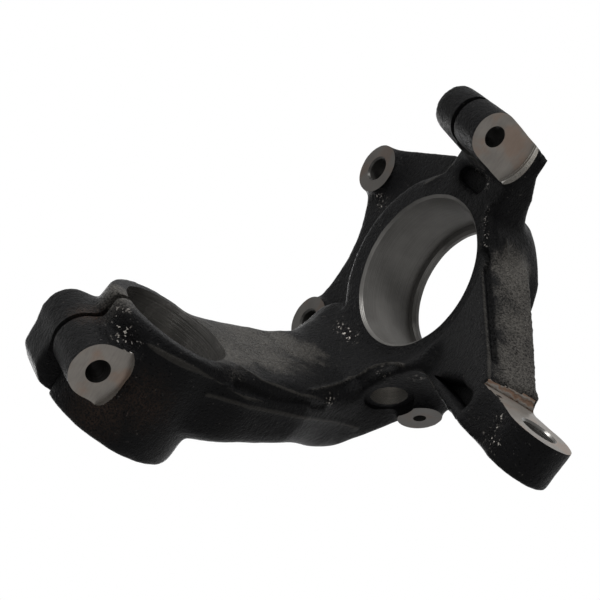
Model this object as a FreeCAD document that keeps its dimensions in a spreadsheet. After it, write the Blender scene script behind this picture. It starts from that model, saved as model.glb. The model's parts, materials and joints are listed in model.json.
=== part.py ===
"""Steering knuckle of a front-wheel-drive car with strut suspension: one iron casting, machined where it fits.

Frame: Y is the wheel axis and points outboard, Z points up to the strut, X is along the car.
The origin is the centre of the wheel-bearing seat.
"""
import FreeCAD, Part
import os
import Sketcher
from FreeCAD import Placement, Rotation, Vector

NODE = "knuckle_casting"

# Driving sizes in millimetres and degrees. Places are measured from the bearing centre.
SIZES = [
    ("bearing_bore", 82.0, "diameter of the wheel-bearing seat"),
    ("seat_width", 37.0, "width of the wheel-bearing seat"),
    ("lip_bore", 73.6, "diameter inside the shoulder that stops the bearing"),
    ("lip_thick", 3.7, "thickness of that shoulder"),
    ("edge_break", 1.5, "chamfer at the mouth of the seat"),
    ("ring_wall_in", 14.0, "wall of the hub ring at its inboard face"),
    ("ring_wall_out", 9.5, "wall of the hub ring at its outboard face"),
    ("face_width", 8.0, "flat of the hub ring's inboard face around the seat"),
    ("flare_out", 13.0, "how far the flare round that face widens"),
    ("flare_deep", 14.0, "how far the flare reaches inboard"),
    ("rim_bevel", 1.6, "bevel round the rims of the strut clamp and the steering arm's end"),
    ("arm_bevel", 7.0, "bevel along the strut arm's edges"),
    ("strut_bore", 56.0, "diameter of the strut clamp's bore"),
    ("strut_wall", 7.9, "wall of the strut clamp"),
    ("clamp_height", 58.0, "length of the strut clamp along its axis"),
    ("strut_x", -24.3, "strut axis, along the car"),
    ("strut_y", -139.0, "strut axis at the clamp's lower rim, inboard"),
    ("strut_z", 70.6, "lower rim of the strut clamp"),
    ("strut_lean", 4.75, "lean of the strut axis to the car's middle, degrees"),
    ("pinch_gap", 6.8, "from the wall of the strut bore to its pinch bolt's axis"),
    ("pinch_rise", 28.4, "from the clamp's lower rim up to its pinch bolt"),
    ("pinch_span", 54.0, "width over the strut clamp's two ears"),
    ("pinch_round", 14.0, "outer radius of the strut clamp's ears"),
    ("pinch_hole", 11.8, "hole for the strut clamp's pinch bolt"),
    ("pinch_cut", 17.0, "radius of the spot face under the pinch bolt's head"),
    ("slit", 3.5, "width of the slit in both clamps"),
    ("lug_height", 15.2, "height of the lug over the rear ear"),
    ("lug_shoulder", 7.6, "height over the rear ear where the lug starts to lean back"),
    ("lug_back", 10.5, "reach of the lug there, past the pinch bolt"),
    ("lug_top", 2.8, "reach of the lug at its top, past the pinch bolt"),
    ("lug_root", 12.6, "reach of the lug at its root, past the pinch bolt"),
    ("lug_rise", 4.2, "height of that root over the pinch bolt"),
    ("stud_bore", 20.0, "bore for the ball joint's stud"),
    ("stud_tilt", 13.5, "lean of the ball joint's stud to the car's middle, degrees"),
    ("stud_offset", 13.5, "from the ball-joint clamp's bolt to the stud's axis"),
    ("stud_wall", 12.0, "wall outboard of the stud's bore"),
    ("joint_y", -41.1, "bolt of the ball-joint clamp, inboard"),
    ("joint_z", -80.3, "bolt of the ball-joint clamp, below the bearing centre"),
    ("joint_round", 12.8, "outer radius of the ball-joint clamp at its bolt"),
    ("joint_span", 40.0, "width over the ball-joint clamp's two ears"),
    ("joint_hole", 11.2, "hole for the ball-joint clamp's bolt"),
    ("joint_cut", 25.0, "radius of the spot face on the ball-joint clamp"),
    ("joint_flank", 4.5, "depth of that spot face in the neck's flank"),
    ("neck_rear", 27.0, "rear flank of the neck over the ball-joint clamp"),
    ("neck_face", -6.5, "outboard face of that neck at the clamp"),
    ("neck_foot", 5.8, "from the clamp's bolt down to the neck's end"),
    ("neck_waist", 5.1, "from the clamp's bolt up to where the neck widens"),
    ("neck_swell", 7.5, "outboard face of the neck where it meets the ring"),
    ("neck_root", 14.0, "outboard face of the neck inside the ring"),
    ("ear_low_x", 96.3, "lower caliper hole, along the car"),
    ("ear_low_z", -23.2, "lower caliper hole, below the bearing centre"),
    ("ear_top_x", 69.2, "upper caliper hole, along the car"),
    ("ear_top_z", 69.5, "upper caliper hole, above the bearing centre"),
    ("ear_hole", 13.0, "caliper hole"),
    ("ear_round", 14.7, "outer radius of a caliper ear"),
    ("ear_face", -6.5, "machined inboard face of the caliper ears"),
    ("ear_thick", 22.0, "thickness of a caliper ear"),
    ("plate_step", 4.0, "step from an ear's face back to the bracket plate"),
    ("plate_thick", 13.0, "thickness of the bracket plate"),
    ("plate_hollow", 62.0, "radius of the bracket plate's hollow edge between its ears"),
    ("plate_foot", 20.0, "how far the plate's foot reaches past the neck"),
    ("plate_drop", 2.7, "how far that foot lies below the ring"),
    ("low_leave", -78.5, "where the plate's lower edge leaves the lower ear, degrees"),
    ("low_meet", 84.0, "where the hollow edge leaves the lower ear, degrees"),
    ("top_meet", -34.5, "where the hollow edge meets the upper ear, degrees"),
    ("top_leave", 108.5, "where the plate's upper edge leaves the upper ear, degrees"),
    ("tie_x", -150.3, "tie-rod hole, along the car"),
    ("tie_y", -34.2, "tie-rod hole, inboard"),
    ("tie_face", 8.2, "machined underside of the steering arm's end"),
    ("tie_thick", 20.5, "thickness of the steering arm's end"),
    ("tie_hole", 16.0, "tie-rod hole"),
    ("tie_round", 16.8, "outer radius of the steering arm's end"),
    ("tie_neck", 29.6, "width of the steering arm where it meets its end"),
    ("tie_back", 22.5, "from the tie-rod hole to the wall that its milling leaves"),
    ("tie_slant", 20.2, "how far that wall slants along the arm, over the milling's width"),
    ("tie_sweep", 67.2, "radius of the milling cutter's path there"),
    ("tie_room", 50.4, "width of the milling"),
    ("pocket_depth", 9.0, "depth of the pocket in the steering arm"),
    ("pocket_tip_x", 26.0, "the pocket's pointed end, from its middle towards the hub"),
    ("pocket_tip_z", 28.0, "the pocket's pointed end, above the bearing centre"),
    ("pocket_bend_x", 1.0, "where the pocket's lower edge bends, from its middle towards the arm's end"),
    ("pocket_bend_z", 17.6, "that bend, above the bearing centre"),
    ("pocket_end_x", 22.5, "the pocket's round end, from its middle towards the arm's end"),
    ("pocket_end_low", 15.6, "lower corner of the round end, above the bearing centre"),
    ("pocket_end_top", 24.2, "upper corner of the round end, above the bearing centre"),
    ("pocket_round", 4.6, "radius of the round end"),
    ("neck_pocket_x", 5.0, "pocket over the ball-joint clamp, along the car"),
    ("neck_pocket_z", -54.5, "pocket over the ball-joint clamp, below the bearing centre"),
    ("neck_pocket_length", 25.0, "length of that pocket"),
    ("neck_pocket_width", 10.0, "width of that pocket"),
    ("neck_pocket_depth", 4.0, "depth of that pocket"),
    ("sensor_angle", 34.8, "direction of the sensor bore above the car's length, degrees"),
    ("sensor_shift", 27.0, "from the bearing axis across to the sensor's axis"),
    ("sensor_y", -14.9, "sensor's axis, inboard"),
    ("sensor_reach", 62.5, "from the bearing axis out to the sensor's seat"),
    ("sensor_hole", 19.0, "sensor bore"),
    ("sensor_depth", 16.0, "depth of the sensor bore"),
    ("sensor_boss", 13.0, "outer radius of the boss around the sensor bore"),
    ("sensor_pitch", 22.0, "from the sensor bore to its fixing screw"),
    ("sensor_step", 5.5, "height of the screw's pad above the sensor's seat"),
    ("sensor_screw", 6.8, "hole for the sensor's fixing screw"),
    ("screw_depth", 16.0, "depth of that hole"),
    ("screw_boss", 11.8, "outer radius of the screw's pad"),
    ("boss_root", 6.0, "how far the sensor's boss reaches into the casting past its bore"),
    ("pad_root", 12.0, "how far the screw's pad reaches into the casting past its hole"),
    ("through", 240.0, "length of a cut that runs right through"),
    ("seat_room", 16.5, "height of the room milled over both sensor seats"),
]

# A round end is drawn a hair flatter than a half circle, which keeps its radius solvable.
ROUND_END = " / 1.99"

# Strut arm: sections across the car's width, each y, front x, rear x, underside z, top z.
STRUT_ARM = [
    ("root", 22.2, -27.0, 46.0, 28.0, 64.0),
    ("heel", -18.5, -31.0, 50.0, 46.0, 102.0),
    ("saddle", -25.0, -33.0, 46.0, 56.5, 103.0),
    ("bend", -38.0, -38.0, 36.0, 64.0, 104.0),
    ("mid", -66.0, -53.0, 20.0, 67.0, 101.0),
    ("head", -104.0, -59.5, 12.5, 70.4, 110.5),
    ("clamp", -133.0, -56.0, 4.0, 71.6, 114.0),
]

# Shoulder between both arms: sections each y, then x and z of its three outer corners.
SHOULDER = [
    ("near", -30.5, -31.0, 68.0, -43.5, 46.0, -62.0, 29.0),
    ("far", 18.0, -30.0, 66.0, -46.0, 48.0, -60.0, 28.0),
]

# Steering arm and its web: sections along the car, each x, then y and z of the four corners:
# inboard underside, outboard underside, outboard top, inboard top.
STEERING_ARM = [
    ("hub", -18.0, -18.5, -38.5, 14.0, -50.5, 19.5, 27.0, -18.5, 29.0),
    ("waist", -38.0, -23.4, -29.6, 7.0, -39.0, 15.5, 27.0, -21.5, 31.0),
    ("web", -60.0, -28.8, -19.8, -2.3, -31.7, 11.5, 28.0, -26.0, 32.6),
    ("shank", -95.0, -39.4, -4.0, -11.5, -14.0, -1.5, 29.5, -38.2, 31.8),
    ("wrist", -122.0, -47.5, 6.8, -20.5, -1.5, -19.0, 28.7, -50.0, 29.0),
]
CORNERS = ("near_low", "far_low", "far_top", "near_top")


def section_sizes():
    """The sections of both arms, as sizes of their own."""
    rows = []
    for name, y, front, rear, under, top in STRUT_ARM:
        what = "strut arm at its %s, " % name
        rows.append(("arm_%s_y" % name, y, what + "place across the car"))
        rows.append(("arm_%s_front" % name, front, what + "front flank"))
        rows.append(("arm_%s_rear" % name, rear, what + "rear flank"))
        rows.append(("arm_%s_under" % name, under, what + "underside"))
        rows.append(("arm_%s_top" % name, top, what + "top"))
    for name, x, *places in STEERING_ARM:
        what = "steering arm at its %s, " % name
        rows.append(("steer_%s_x" % name, x, what + "place along the car"))
        for corner, y, z in zip(CORNERS, places[0::2], places[1::2]):
            words = corner.replace("_", " ")
            rows.append(("steer_%s_%s_y" % (name, corner), y, what + words + ", across"))
            rows.append(("steer_%s_%s_z" % (name, corner), z, what + words + ", height"))
    for name, y, *places in SHOULDER:
        what = "shoulder at its %s end, " % name
        rows.append(("shoulder_%s_y" % name, y, what + "place across the car"))
        for corner, x, z in zip(("upper", "middle", "lower"), places[0::2], places[1::2]):
            rows.append(("shoulder_%s_%s_x" % (name, corner), x, what + corner + " corner, along"))
            rows.append(("shoulder_%s_%s_z" % (name, corner), z, what + corner + " corner, height"))
    return rows


def fill_sheet(doc):
    """The driving sizes, one row each: name, value, meaning."""
    sheet = doc.addObject("Spreadsheet::Sheet", "Sizes")
    for row, (name, value, note) in enumerate(SIZES + section_sizes(), 1):
        sheet.set("A%d" % row, name)
        sheet.set("B%d" % row, str(value))
        sheet.set("C%d" % row, note)
        sheet.setAlias("B%d" % row, name)
    doc.recompute()
    return sheet


def size(text):
    """An expression on the sheet, from plain words: each name becomes its cell."""
    names = {name for name, value, note in SIZES + section_sizes()}
    out = ""
    word = ""
    for letter in text + " ":
        if letter.isalnum() or letter in "_.":
            word += letter
            continue
        out += "Sizes." + word if word in names else word
        out += letter
        word = ""
    return out.strip()


def sketch_on(body, role, name, x="0", y="0", z="0", turn_axis=(0, 0, 1), turn="0"):
    """A sketch on one of the body's origin planes, moved and turned by sheet sizes."""
    plane = [part for part in body.Origin.OriginFeatures if part.Role == role][0]
    sketch = body.newObject("Sketcher::SketchObject", name)
    sketch.AttachmentSupport = [(plane, "")]
    sketch.MapMode = "FlatFace"
    sketch.AttachmentOffset = Placement(Vector(), Rotation(Vector(*turn_axis), 1))
    sketch.setExpression("AttachmentOffset.Base.x", size(x))
    sketch.setExpression("AttachmentOffset.Base.y", size(y))
    sketch.setExpression("AttachmentOffset.Base.z", size(z))
    sketch.setExpression("AttachmentOffset.Rotation.Angle", size(turn))
    return sketch


def bind(sketch, kind, text, *where):
    """One dimension of a sketch, bound to an expression on the sheet."""
    value = sketch.evalExpression(size(text))
    index = sketch.addConstraint(Sketcher.Constraint(kind, *where, float(value)))
    sketch.setExpression("Constraints[%d]" % index, size(text))


def place_point(sketch, geometry, end, x, y):
    """Both coordinates of one point of a sketch, from its origin."""
    bind(sketch, "DistanceX", x, -1, 1, geometry, end)
    bind(sketch, "DistanceY", y, -1, 1, geometry, end)


def circle(sketch, radius, x="0", y="0"):
    """A full circle of a sheet size."""
    centre = Vector(float(sketch.evalExpression(size(x))), float(sketch.evalExpression(size(y))), 0)
    start = float(sketch.evalExpression(size(radius)))
    index = sketch.addGeometry(Part.Circle(centre, Vector(0, 0, 1), start), False)
    bind(sketch, "Radius", radius, index)
    place_point(sketch, index, 3, x, y)


def outline(sketch, corners):
    """A closed outline through corners. A third text is the radius of the arc that reaches the corner."""
    points = []
    for corner in corners:
        x = float(sketch.evalExpression(size(corner[0])))
        y = float(sketch.evalExpression(size(corner[1])))
        points.append(Vector(x, y, 0))
    count = len(corners)
    edges = []
    for index, corner in enumerate(corners):
        start, end = points[index - 1], points[index]
        if len(corner) > 2:
            edges.append(add_arc(sketch, start, end, corner[2], corner[3:] == ("hollow",)))
        else:
            line = sketch.addGeometry(Part.LineSegment(start, end), False)
            edges.append((line, 1, 2))
    for index in range(count):
        edge, first, last = edges[index]
        following, next_first, next_last = edges[(index + 1) % count]
        sketch.addConstraint(Sketcher.Constraint("Coincident", edge, last, following, next_first))
        place_point(sketch, edge, last, corners[index][0], corners[index][1])
    return edges


def bevelled_box(sketch, left, right, low, high, bevel):
    """A rectangle with bevelled corners."""
    outline(sketch, [
        (right + " - " + bevel, low),
        (right, low + " + " + bevel),
        (right, high + " - " + bevel),
        (right + " - " + bevel, high),
        (left + " + " + bevel, high),
        (left, high + " - " + bevel),
        (left, low + " + " + bevel),
        (left + " + " + bevel, low),
    ])


def slot(sketch, length, width, x, y):
    """A slot with round ends, its length along the sketch's x."""
    left = x + " - (" + length + " - " + width + ") / 2"
    right = x + " + (" + length + " - " + width + ") / 2"
    low, high = y + " - " + width + " / 2", y + " + " + width + " / 2"
    outline(sketch, [
        (right, low),
        (right, high, width + ROUND_END),
        (left, high),
        (left, low, width + ROUND_END),
    ])


def add_arc(sketch, start, end, radius, hollow):
    """An arc between two points. It bulges to the right of the way, or to the left if it is hollow."""
    reach = float(sketch.evalExpression(size(radius)))
    chord = end - start
    middle = (start + end) * 0.5
    side = Vector(-chord.y, chord.x, 0).normalize()
    if hollow:
        side = -side
        start, end = end, start
    rise = max(reach ** 2 - (chord.Length / 2) ** 2, 0.0) ** 0.5
    top = middle + side * (rise - reach)
    arc = sketch.addGeometry(Part.Arc(start, top, end), False)
    bind(sketch, "Radius", radius, arc)
    if hollow:
        return (arc, 2, 1)
    return (arc, 1, 2)


def pad(body, name, sketch, length, both=False, back=False):
    """Material drawn out of a sketch."""
    feature = body.newObject("PartDesign::Pad", name)
    feature.Profile = sketch
    feature.setExpression("Length", size(length))
    feature.Midplane = both
    feature.Reversed = back
    sketch.Visibility = False
    return feature


def cut(body, name, sketch, length, both=False, back=False):
    """Material taken out along a sketch."""
    feature = body.newObject("PartDesign::Pocket", name)
    feature.Profile = sketch
    feature.setExpression("Length", size(length))
    feature.Midplane = both
    feature.Reversed = back
    sketch.Visibility = False
    return feature


def loft(body, name, sketches):
    """Material through a row of sections, straight from each to the next."""
    feature = body.newObject("PartDesign::AdditiveLoft", name)
    feature.Profile = sketches[0]
    feature.Sections = sketches[1:]
    feature.Ruled = True
    return feature


def drum(body, name, sketch, radius, height, bevel):
    """A cylinder around the sketch's y with bevelled rims."""
    outline(sketch, [
        ("0.0", "0.0"),
        (radius + " - " + bevel, "0.0"),
        (radius, bevel),
        (radius, height + " - " + bevel),
        (radius + " - " + bevel, height),
        ("0.0", height),
    ])
    turned = body.newObject("PartDesign::Revolution", name)
    turned.Profile = sketch
    turned.ReferenceAxis = (sketch, ["V_Axis"])
    turned.Angle = 360
    return turned


def hub_ring(body):
    """The ring that carries the wheel bearing, still solid inside."""
    sketch = sketch_on(body, "YZ_Plane", "ring_profile")
    inboard = "-seat_width / 2"
    outboard = "seat_width / 2 + lip_thick"
    outline(sketch, [
        (inboard, "1"),
        (inboard, "bearing_bore / 2 + ring_wall_in"),
        (outboard, "bearing_bore / 2 + ring_wall_out"),
        (outboard, "1"),
    ])
    ring = body.newObject("PartDesign::Revolution", "hub_ring")
    ring.Profile = sketch
    ring.ReferenceAxis = (sketch, ["H_Axis"])
    ring.Angle = 360
    return ring


def strut_arm(body):
    """The neck that rises from the ring and turns inboard to the strut clamp."""
    sections = []
    for name in [row[0] for row in STRUT_ARM]:
        sketch = sketch_on(body, "XZ_Plane", "arm_%s_section" % name, z="-arm_%s_y" % name)
        front, rear = "arm_%s_front" % name, "arm_%s_rear" % name
        under, top = "arm_%s_under" % name, "arm_%s_top" % name
        bevelled_box(sketch, front, rear, under, top, "arm_bevel")
        sections.append(sketch)
    return loft(body, "strut_arm", sections)


def shoulder(body):
    """The mass between both arms that carries the wheel-speed sensor."""
    sections = []
    for name in [row[0] for row in SHOULDER]:
        sketch = sketch_on(body, "XZ_Plane", "shoulder_%s_section" % name, z="-shoulder_%s_y" % name)
        corners = [("0.0", "bearing_bore / 2 + ring_wall_out"), ("-bearing_bore / 2 - ring_wall_out", "0.0")]
        for corner in ("lower", "middle", "upper"):
            stem = "shoulder_%s_%s" % (name, corner)
            corners.append((stem + "_x", stem + "_z"))
        outline(sketch, corners)
        sections.append(sketch)
    return loft(body, "shoulder", sections)


def steering_arm(body):
    """The steering arm with the web that ties it to the ring and the ball-joint clamp."""
    sections = []
    for name in [row[0] for row in STEERING_ARM]:
        sketch = sketch_on(body, "YZ_Plane", "steer_%s_section" % name, z="steer_%s_x" % name)
        corners = []
        for corner in CORNERS:
            stem = "steer_%s_%s" % (name, corner)
            corners.append((stem + "_y", stem + "_z"))
        outline(sketch, corners)
        sections.append(sketch)
    end = sketch_on(body, "YZ_Plane", "steer_end_section", z="tie_x")
    low, top = "tie_face", "tie_face + tie_thick"
    near, far = "tie_y - tie_neck / 2", "tie_y + tie_neck / 2"
    outline(end, [(near, low), (far, low), (far, top), (near, top)])
    return loft(body, "steering_arm", sections + [end])


def arm_end(body):
    """The round end of the steering arm."""
    sketch = sketch_on(body, "XZ_Plane", "arm_end_profile", "tie_x", "tie_face", "-tie_y")
    return drum(body, "arm_end", sketch, "tie_round", "tie_thick", "rim_bevel")


def on_ear(ear, angle):
    """The point of a caliper ear's rim at a named angle."""
    place = (ear, angle)
    return ("%s_x + ear_round * cos(%s)" % place, "%s_z + ear_round * sin(%s)" % place)


def caliper_bracket(body):
    """The plate with two ears that carries the brake caliper."""
    sketch = sketch_on(body, "XZ_Plane", "plate_outline", z="-ear_face - plate_step")
    outline(sketch, [
        on_ear("ear_low", "low_leave"),
        on_ear("ear_low", "low_meet"),
        on_ear("ear_top", "top_meet") + ("plate_hollow", "hollow"),
        on_ear("ear_top", "top_leave"),
        ("0", "bearing_bore / 2"),
        ("0", "-bearing_bore / 2 - ring_wall_in"),
        ("neck_rear + plate_foot", "-bearing_bore / 2 - ring_wall_in - plate_drop"),
    ])
    pad(body, "bracket_plate", sketch, "plate_thick", back=True)
    for name in ("low", "top"):
        sketch = sketch_on(body, "XZ_Plane", "ear_%s_outline" % name, z="-ear_face")
        circle(sketch, "ear_round", "ear_%s_x" % name, "ear_%s_z" % name)
        pad(body, "ear_%s" % name, sketch, "ear_thick", back=True)


def ball_joint_clamp(body):
    """The block that pinches the ball joint's stud, and the neck that carries it."""
    sketch = sketch_on(body, "YZ_Plane", "joint_outline", x="joint_y", y="joint_z", turn="stud_tilt")
    reach = "stud_offset + stud_bore / 2 + stud_wall"
    outline(sketch, [
        (reach, "-joint_round"),
        (reach, "joint_round"),
        ("0", "joint_round"),
        ("-joint_round", "0", "joint_round"),
        ("0", "-joint_round", "joint_round"),
    ])
    pad(body, "joint_block", sketch, "joint_span", both=True)
    sketch = sketch_on(body, "YZ_Plane", "neck_outline", z="-joint_span / 2 - joint_flank")
    inboard = "-seat_width / 2"
    outline(sketch, [
        (inboard, "-bearing_bore / 2"),
        (inboard, "joint_z + joint_round"),
        ("neck_face", "joint_z - neck_foot"),
        ("neck_face", "joint_z + neck_waist"),
        ("neck_swell", "-bearing_bore / 2 - ring_wall_out"),
        ("neck_root", "-bearing_bore / 2"),
    ])
    pad(body, "joint_neck", sketch, "joint_span / 2 + joint_flank + neck_rear")


def strut_clamp(body):
    """The split barrel that holds the strut, with its two ears and the lug over the rear one."""
    side = sketch_on(body, "YZ_Plane", "barrel_profile", "strut_y", "strut_z", "strut_x", (0, 0, 1), "strut_lean")
    drum(body, "strut_barrel", side, "strut_bore / 2 + strut_wall", "clamp_height", "rim_bevel")
    ears = pinch_sketch(body, "pinch_outline")
    reach = "strut_bore / 2 + pinch_gap"
    outline(ears, [
        (reach, "-pinch_round"),
        (reach, "pinch_round"),
        ("0", "pinch_round"),
        ("-pinch_round", "0", "pinch_round"),
        ("0", "-pinch_round", "pinch_round"),
    ])
    pad(body, "pinch_ears", ears, "pinch_span", both=True)
    lug = pinch_sketch(body, "lug_outline")
    outline(lug, [
        (reach, "0"),
        (reach, "pinch_round + lug_height"),
        ("-lug_top", "pinch_round + lug_height"),
        ("-lug_back", "pinch_round + lug_shoulder"),
        ("-lug_root", "lug_rise"),
    ])
    pad(body, "rear_lug", lug, "pinch_span / 2")


def pinch_sketch(body, name, side="0"):
    """A sketch across the strut clamp's pinch bolt, square to it."""
    out = "(strut_bore / 2 + pinch_gap)"
    y = "strut_y - sin(strut_lean) * pinch_rise - cos(strut_lean) * " + out
    z = "strut_z + cos(strut_lean) * pinch_rise - sin(strut_lean) * " + out
    return sketch_on(body, "YZ_Plane", name, y, z, "strut_x + " + side, (0, 0, 1), "strut_lean")


def sensor_sketch(body, name, along, reach):
    """A sketch square to the sensor bore, at a place along the wheel axis and a reach from it."""
    reach = "(%s)" % reach
    x = "-cos(sensor_angle) * %s + sin(sensor_angle) * sensor_shift" % reach
    z = "sin(sensor_angle) * %s + cos(sensor_angle) * sensor_shift" % reach
    return sketch_on(body, "XY_Plane", name, x, along, z, (0, 1, 0), "sensor_angle - 90")


def sensor_bosses(body):
    """The boss around the sensor bore and the pad of its fixing screw."""
    boss = sensor_sketch(body, "sensor_boss_outline", "sensor_y", "sensor_reach")
    circle(boss, "sensor_boss")
    pad(body, "sensor_boss", boss, "sensor_depth + boss_root", back=True)
    screw = sensor_sketch(body, "screw_boss_outline", "sensor_y + sensor_pitch", "sensor_reach + sensor_step")
    circle(screw, "screw_boss")
    pad(body, "screw_boss", screw, "screw_depth + pad_root", back=True)


def bearing_seat(body):
    """The bored seat with its shoulder, open to the inboard side."""
    sketch = sketch_on(body, "YZ_Plane", "seat_profile")
    mouth = "-seat_width / 2"
    seat = "bearing_bore / 2"
    lip = "lip_bore / 2"
    outline(sketch, [
        ("-seat_width * 2", "0.0"),
        ("-seat_width * 2", seat + " + face_width + flare_out"),
        (mouth + " - flare_deep", seat + " + face_width + flare_out"),
        (mouth, seat + " + face_width"),
        (mouth, seat + " + edge_break"),
        (mouth + " + edge_break", seat),
        ("seat_width / 2", seat),
        ("seat_width / 2", lip + " + edge_break"),
        ("seat_width / 2 + edge_break", lip),
        ("seat_width", lip),
        ("seat_width", "0.0"),
    ])
    groove = body.newObject("PartDesign::Groove", "bearing_seat")
    groove.Profile = sketch
    groove.ReferenceAxis = (sketch, ["H_Axis"])
    groove.Angle = 360


def strut_clamp_cuts(body):
    """Bore, slit, bolt hole and spot faces of the strut clamp."""
    bore = sketch_on(body, "XY_Plane", "strut_bore_circle", "strut_x", "strut_y", "strut_z", (1, 0, 0), "strut_lean")
    circle(bore, "strut_bore / 2")
    cut(body, "strut_bore", bore, "through", both=True)
    slit = pinch_sketch(body, "strut_slit_outline")
    outline(slit, [
        ("strut_bore / 2 + pinch_gap", "-pinch_round * 4"),
        ("strut_bore / 2 + pinch_gap", "pinch_round * 4"),
        ("-pinch_round * 3", "pinch_round * 4"),
        ("-pinch_round * 3", "-pinch_round * 4"),
    ])
    cut(body, "strut_slit", slit, "slit", both=True)
    hole = pinch_sketch(body, "pinch_hole_circle")
    circle(hole, "pinch_hole / 2")
    cut(body, "pinch_hole", hole, "pinch_span * 2", both=True)
    face = pinch_sketch(body, "pinch_face_circle", "-pinch_span / 2")
    circle(face, "pinch_cut")
    cut(body, "pinch_face", face, "pinch_span / 2")


def ball_joint_cuts(body):
    """Stud bore, slit, bolt hole and spot face of the ball-joint clamp."""
    y = "joint_y + cos(stud_tilt) * stud_offset"
    z = "joint_z + sin(stud_tilt) * stud_offset"
    bore = sketch_on(body, "XY_Plane", "stud_bore_circle", "0", y, z, (1, 0, 0), "stud_tilt")
    circle(bore, "stud_bore / 2")
    cut(body, "stud_bore", bore, "joint_round * 2 + 8", both=True)
    place = {"x": "joint_y", "y": "joint_z", "turn": "stud_tilt"}
    slit = sketch_on(body, "YZ_Plane", "joint_slit_outline", **place)
    outline(slit, [
        ("stud_offset", "-joint_round * 2"),
        ("stud_offset", "joint_round * 1.2"),
        ("-joint_round * 2", "joint_round * 1.2"),
        ("-joint_round * 2", "-joint_round * 2"),
    ])
    cut(body, "joint_slit", slit, "slit", both=True)
    hole = sketch_on(body, "YZ_Plane", "joint_hole_circle", **place)
    circle(hole, "joint_hole / 2")
    cut(body, "joint_hole", hole, "joint_span * 2", both=True)
    face = sketch_on(body, "YZ_Plane", "joint_face_circle", z="-joint_span / 2", **place)
    circle(face, "joint_cut")
    cut(body, "joint_face", face, "joint_flank * 4")
    pocket = sketch_on(body, "XZ_Plane", "neck_pocket_outline", z="seat_width / 2")
    slot(pocket, "neck_pocket_length", "neck_pocket_width", "neck_pocket_x", "neck_pocket_z")
    cut(body, "neck_pocket", pocket, "neck_pocket_depth * 2", both=True)


def steering_arm_cuts(body):
    """The milled face and hole at the arm's end, and the pocket in the arm."""
    face = sketch_on(body, "XY_Plane", "tie_face_outline", z="tie_face")
    inner = "tie_x + tie_back"
    outer = "tie_x - tie_round * 2"
    near, far = "tie_y - tie_room / 2", "tie_y + tie_room / 2"
    outline(face, [
        (inner + " + tie_slant / 2", near),
        (inner + " - tie_slant / 2", far, "tie_sweep"),
        (outer, far),
        (outer, near),
    ])
    cut(body, "tie_milling", face, "tie_round * 3")
    drop = "(steer_web_near_top_y - steer_wrist_near_top_y)"
    slope = "atan(" + drop + " / (steer_web_x - steer_wrist_x))"
    wall = "-steer_shank_near_top_y"
    pocket = sketch_on(body, "XZ_Plane", "pocket_outline", "steer_shank_x", "0", wall, (0, 1, 0), slope)
    outline(pocket, [
        ("pocket_tip_x", "pocket_tip_z"),
        ("-pocket_end_x", "pocket_end_top"),
        ("-pocket_end_x", "pocket_end_low", "pocket_round"),
        ("-pocket_bend_x", "pocket_bend_z"),
    ])
    cut(body, "arm_pocket", pocket, "pocket_depth * 2", both=True)
    hole = sketch_on(body, "XY_Plane", "tie_hole_circle", z="tie_face + tie_thick / 2")
    circle(hole, "tie_hole / 2", "tie_x", "tie_y")
    cut(body, "tie_hole", hole, "tie_thick * 3", both=True)


def caliper_cuts(body):
    """The two caliper holes."""
    holes = sketch_on(body, "XZ_Plane", "caliper_hole_circles", z="-ear_face")
    circle(holes, "ear_hole / 2", "ear_low_x", "ear_low_z")
    circle(holes, "ear_hole / 2", "ear_top_x", "ear_top_z")
    cut(body, "caliper_holes", holes, "ear_thick * 3", both=True)


def sensor_cuts(body):
    """The sensor bore and its screw hole, with the room over both seats."""
    place = ("sensor_y", "sensor_reach")
    face = sensor_sketch(body, "sensor_face_circle", *place)
    circle(face, "sensor_boss")
    cut(body, "sensor_face", face, "seat_room", back=True)
    bore = sensor_sketch(body, "sensor_bore_circle", *place)
    circle(bore, "sensor_hole / 2")
    cut(body, "sensor_bore", bore, "sensor_depth")
    place = ("sensor_y + sensor_pitch", "sensor_reach + sensor_step")
    face = sensor_sketch(body, "screw_face_circle", *place)
    circle(face, "screw_boss")
    cut(body, "screw_face", face, "seat_room", back=True)
    screw = sensor_sketch(body, "screw_hole_circle", *place)
    circle(screw, "sensor_screw / 2")
    cut(body, "screw_hole", screw, "screw_depth")


def check(doc, node):
    """Every feature has been computed, and the casting is one valid solid."""
    for thing in doc.Objects:
        if "Invalid" in thing.State or "Error" in thing.State:
            raise RuntimeError("%s: %s" % (thing.Name, thing.State))
    shape = node.Shape
    if shape.isNull() or not shape.isValid() or len(shape.Solids) != 1:
        raise RuntimeError("%s is not one valid solid" % node.Label)


def main():
    doc = FreeCAD.newDocument("steering_knuckle")
    fill_sheet(doc)
    body = doc.addObject("PartDesign::Body", NODE)
    body.Label = NODE
    hub_ring(body)
    strut_arm(body)
    shoulder(body)
    steering_arm(body)
    arm_end(body)
    caliper_bracket(body)
    ball_joint_clamp(body)
    strut_clamp(body)
    sensor_bosses(body)
    bearing_seat(body)
    strut_clamp_cuts(body)
    ball_joint_cuts(body)
    steering_arm_cuts(body)
    caliper_cuts(body)
    sensor_cuts(body)
    doc.recompute()
    check(doc, body)
    os.makedirs("parts", exist_ok=True)
    body.Shape.exportStep("parts/%s.step" % NODE)
    print("%s: %.0f mm3, %d faces" % (NODE, body.Shape.Volume, len(body.Shape.Faces)))


main()
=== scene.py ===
"""Looks of a cast steering knuckle: the painted sand casting with its bored, faced and milled places.

Everything is in the part's frame: Y is the wheel axis and points outboard, Z points up to the strut,
X runs along the car, and the origin is the centre of the wheel-bearing seat. Shapes are written in
millimetres and turned into metres where a mesh is made.
"""

import json
import math

import bmesh
import bpy
import numpy as np
from bpy.props import FloatProperty, FloatVectorProperty, IntProperty, PointerProperty
from mathutils import Matrix, Vector, noise


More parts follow.
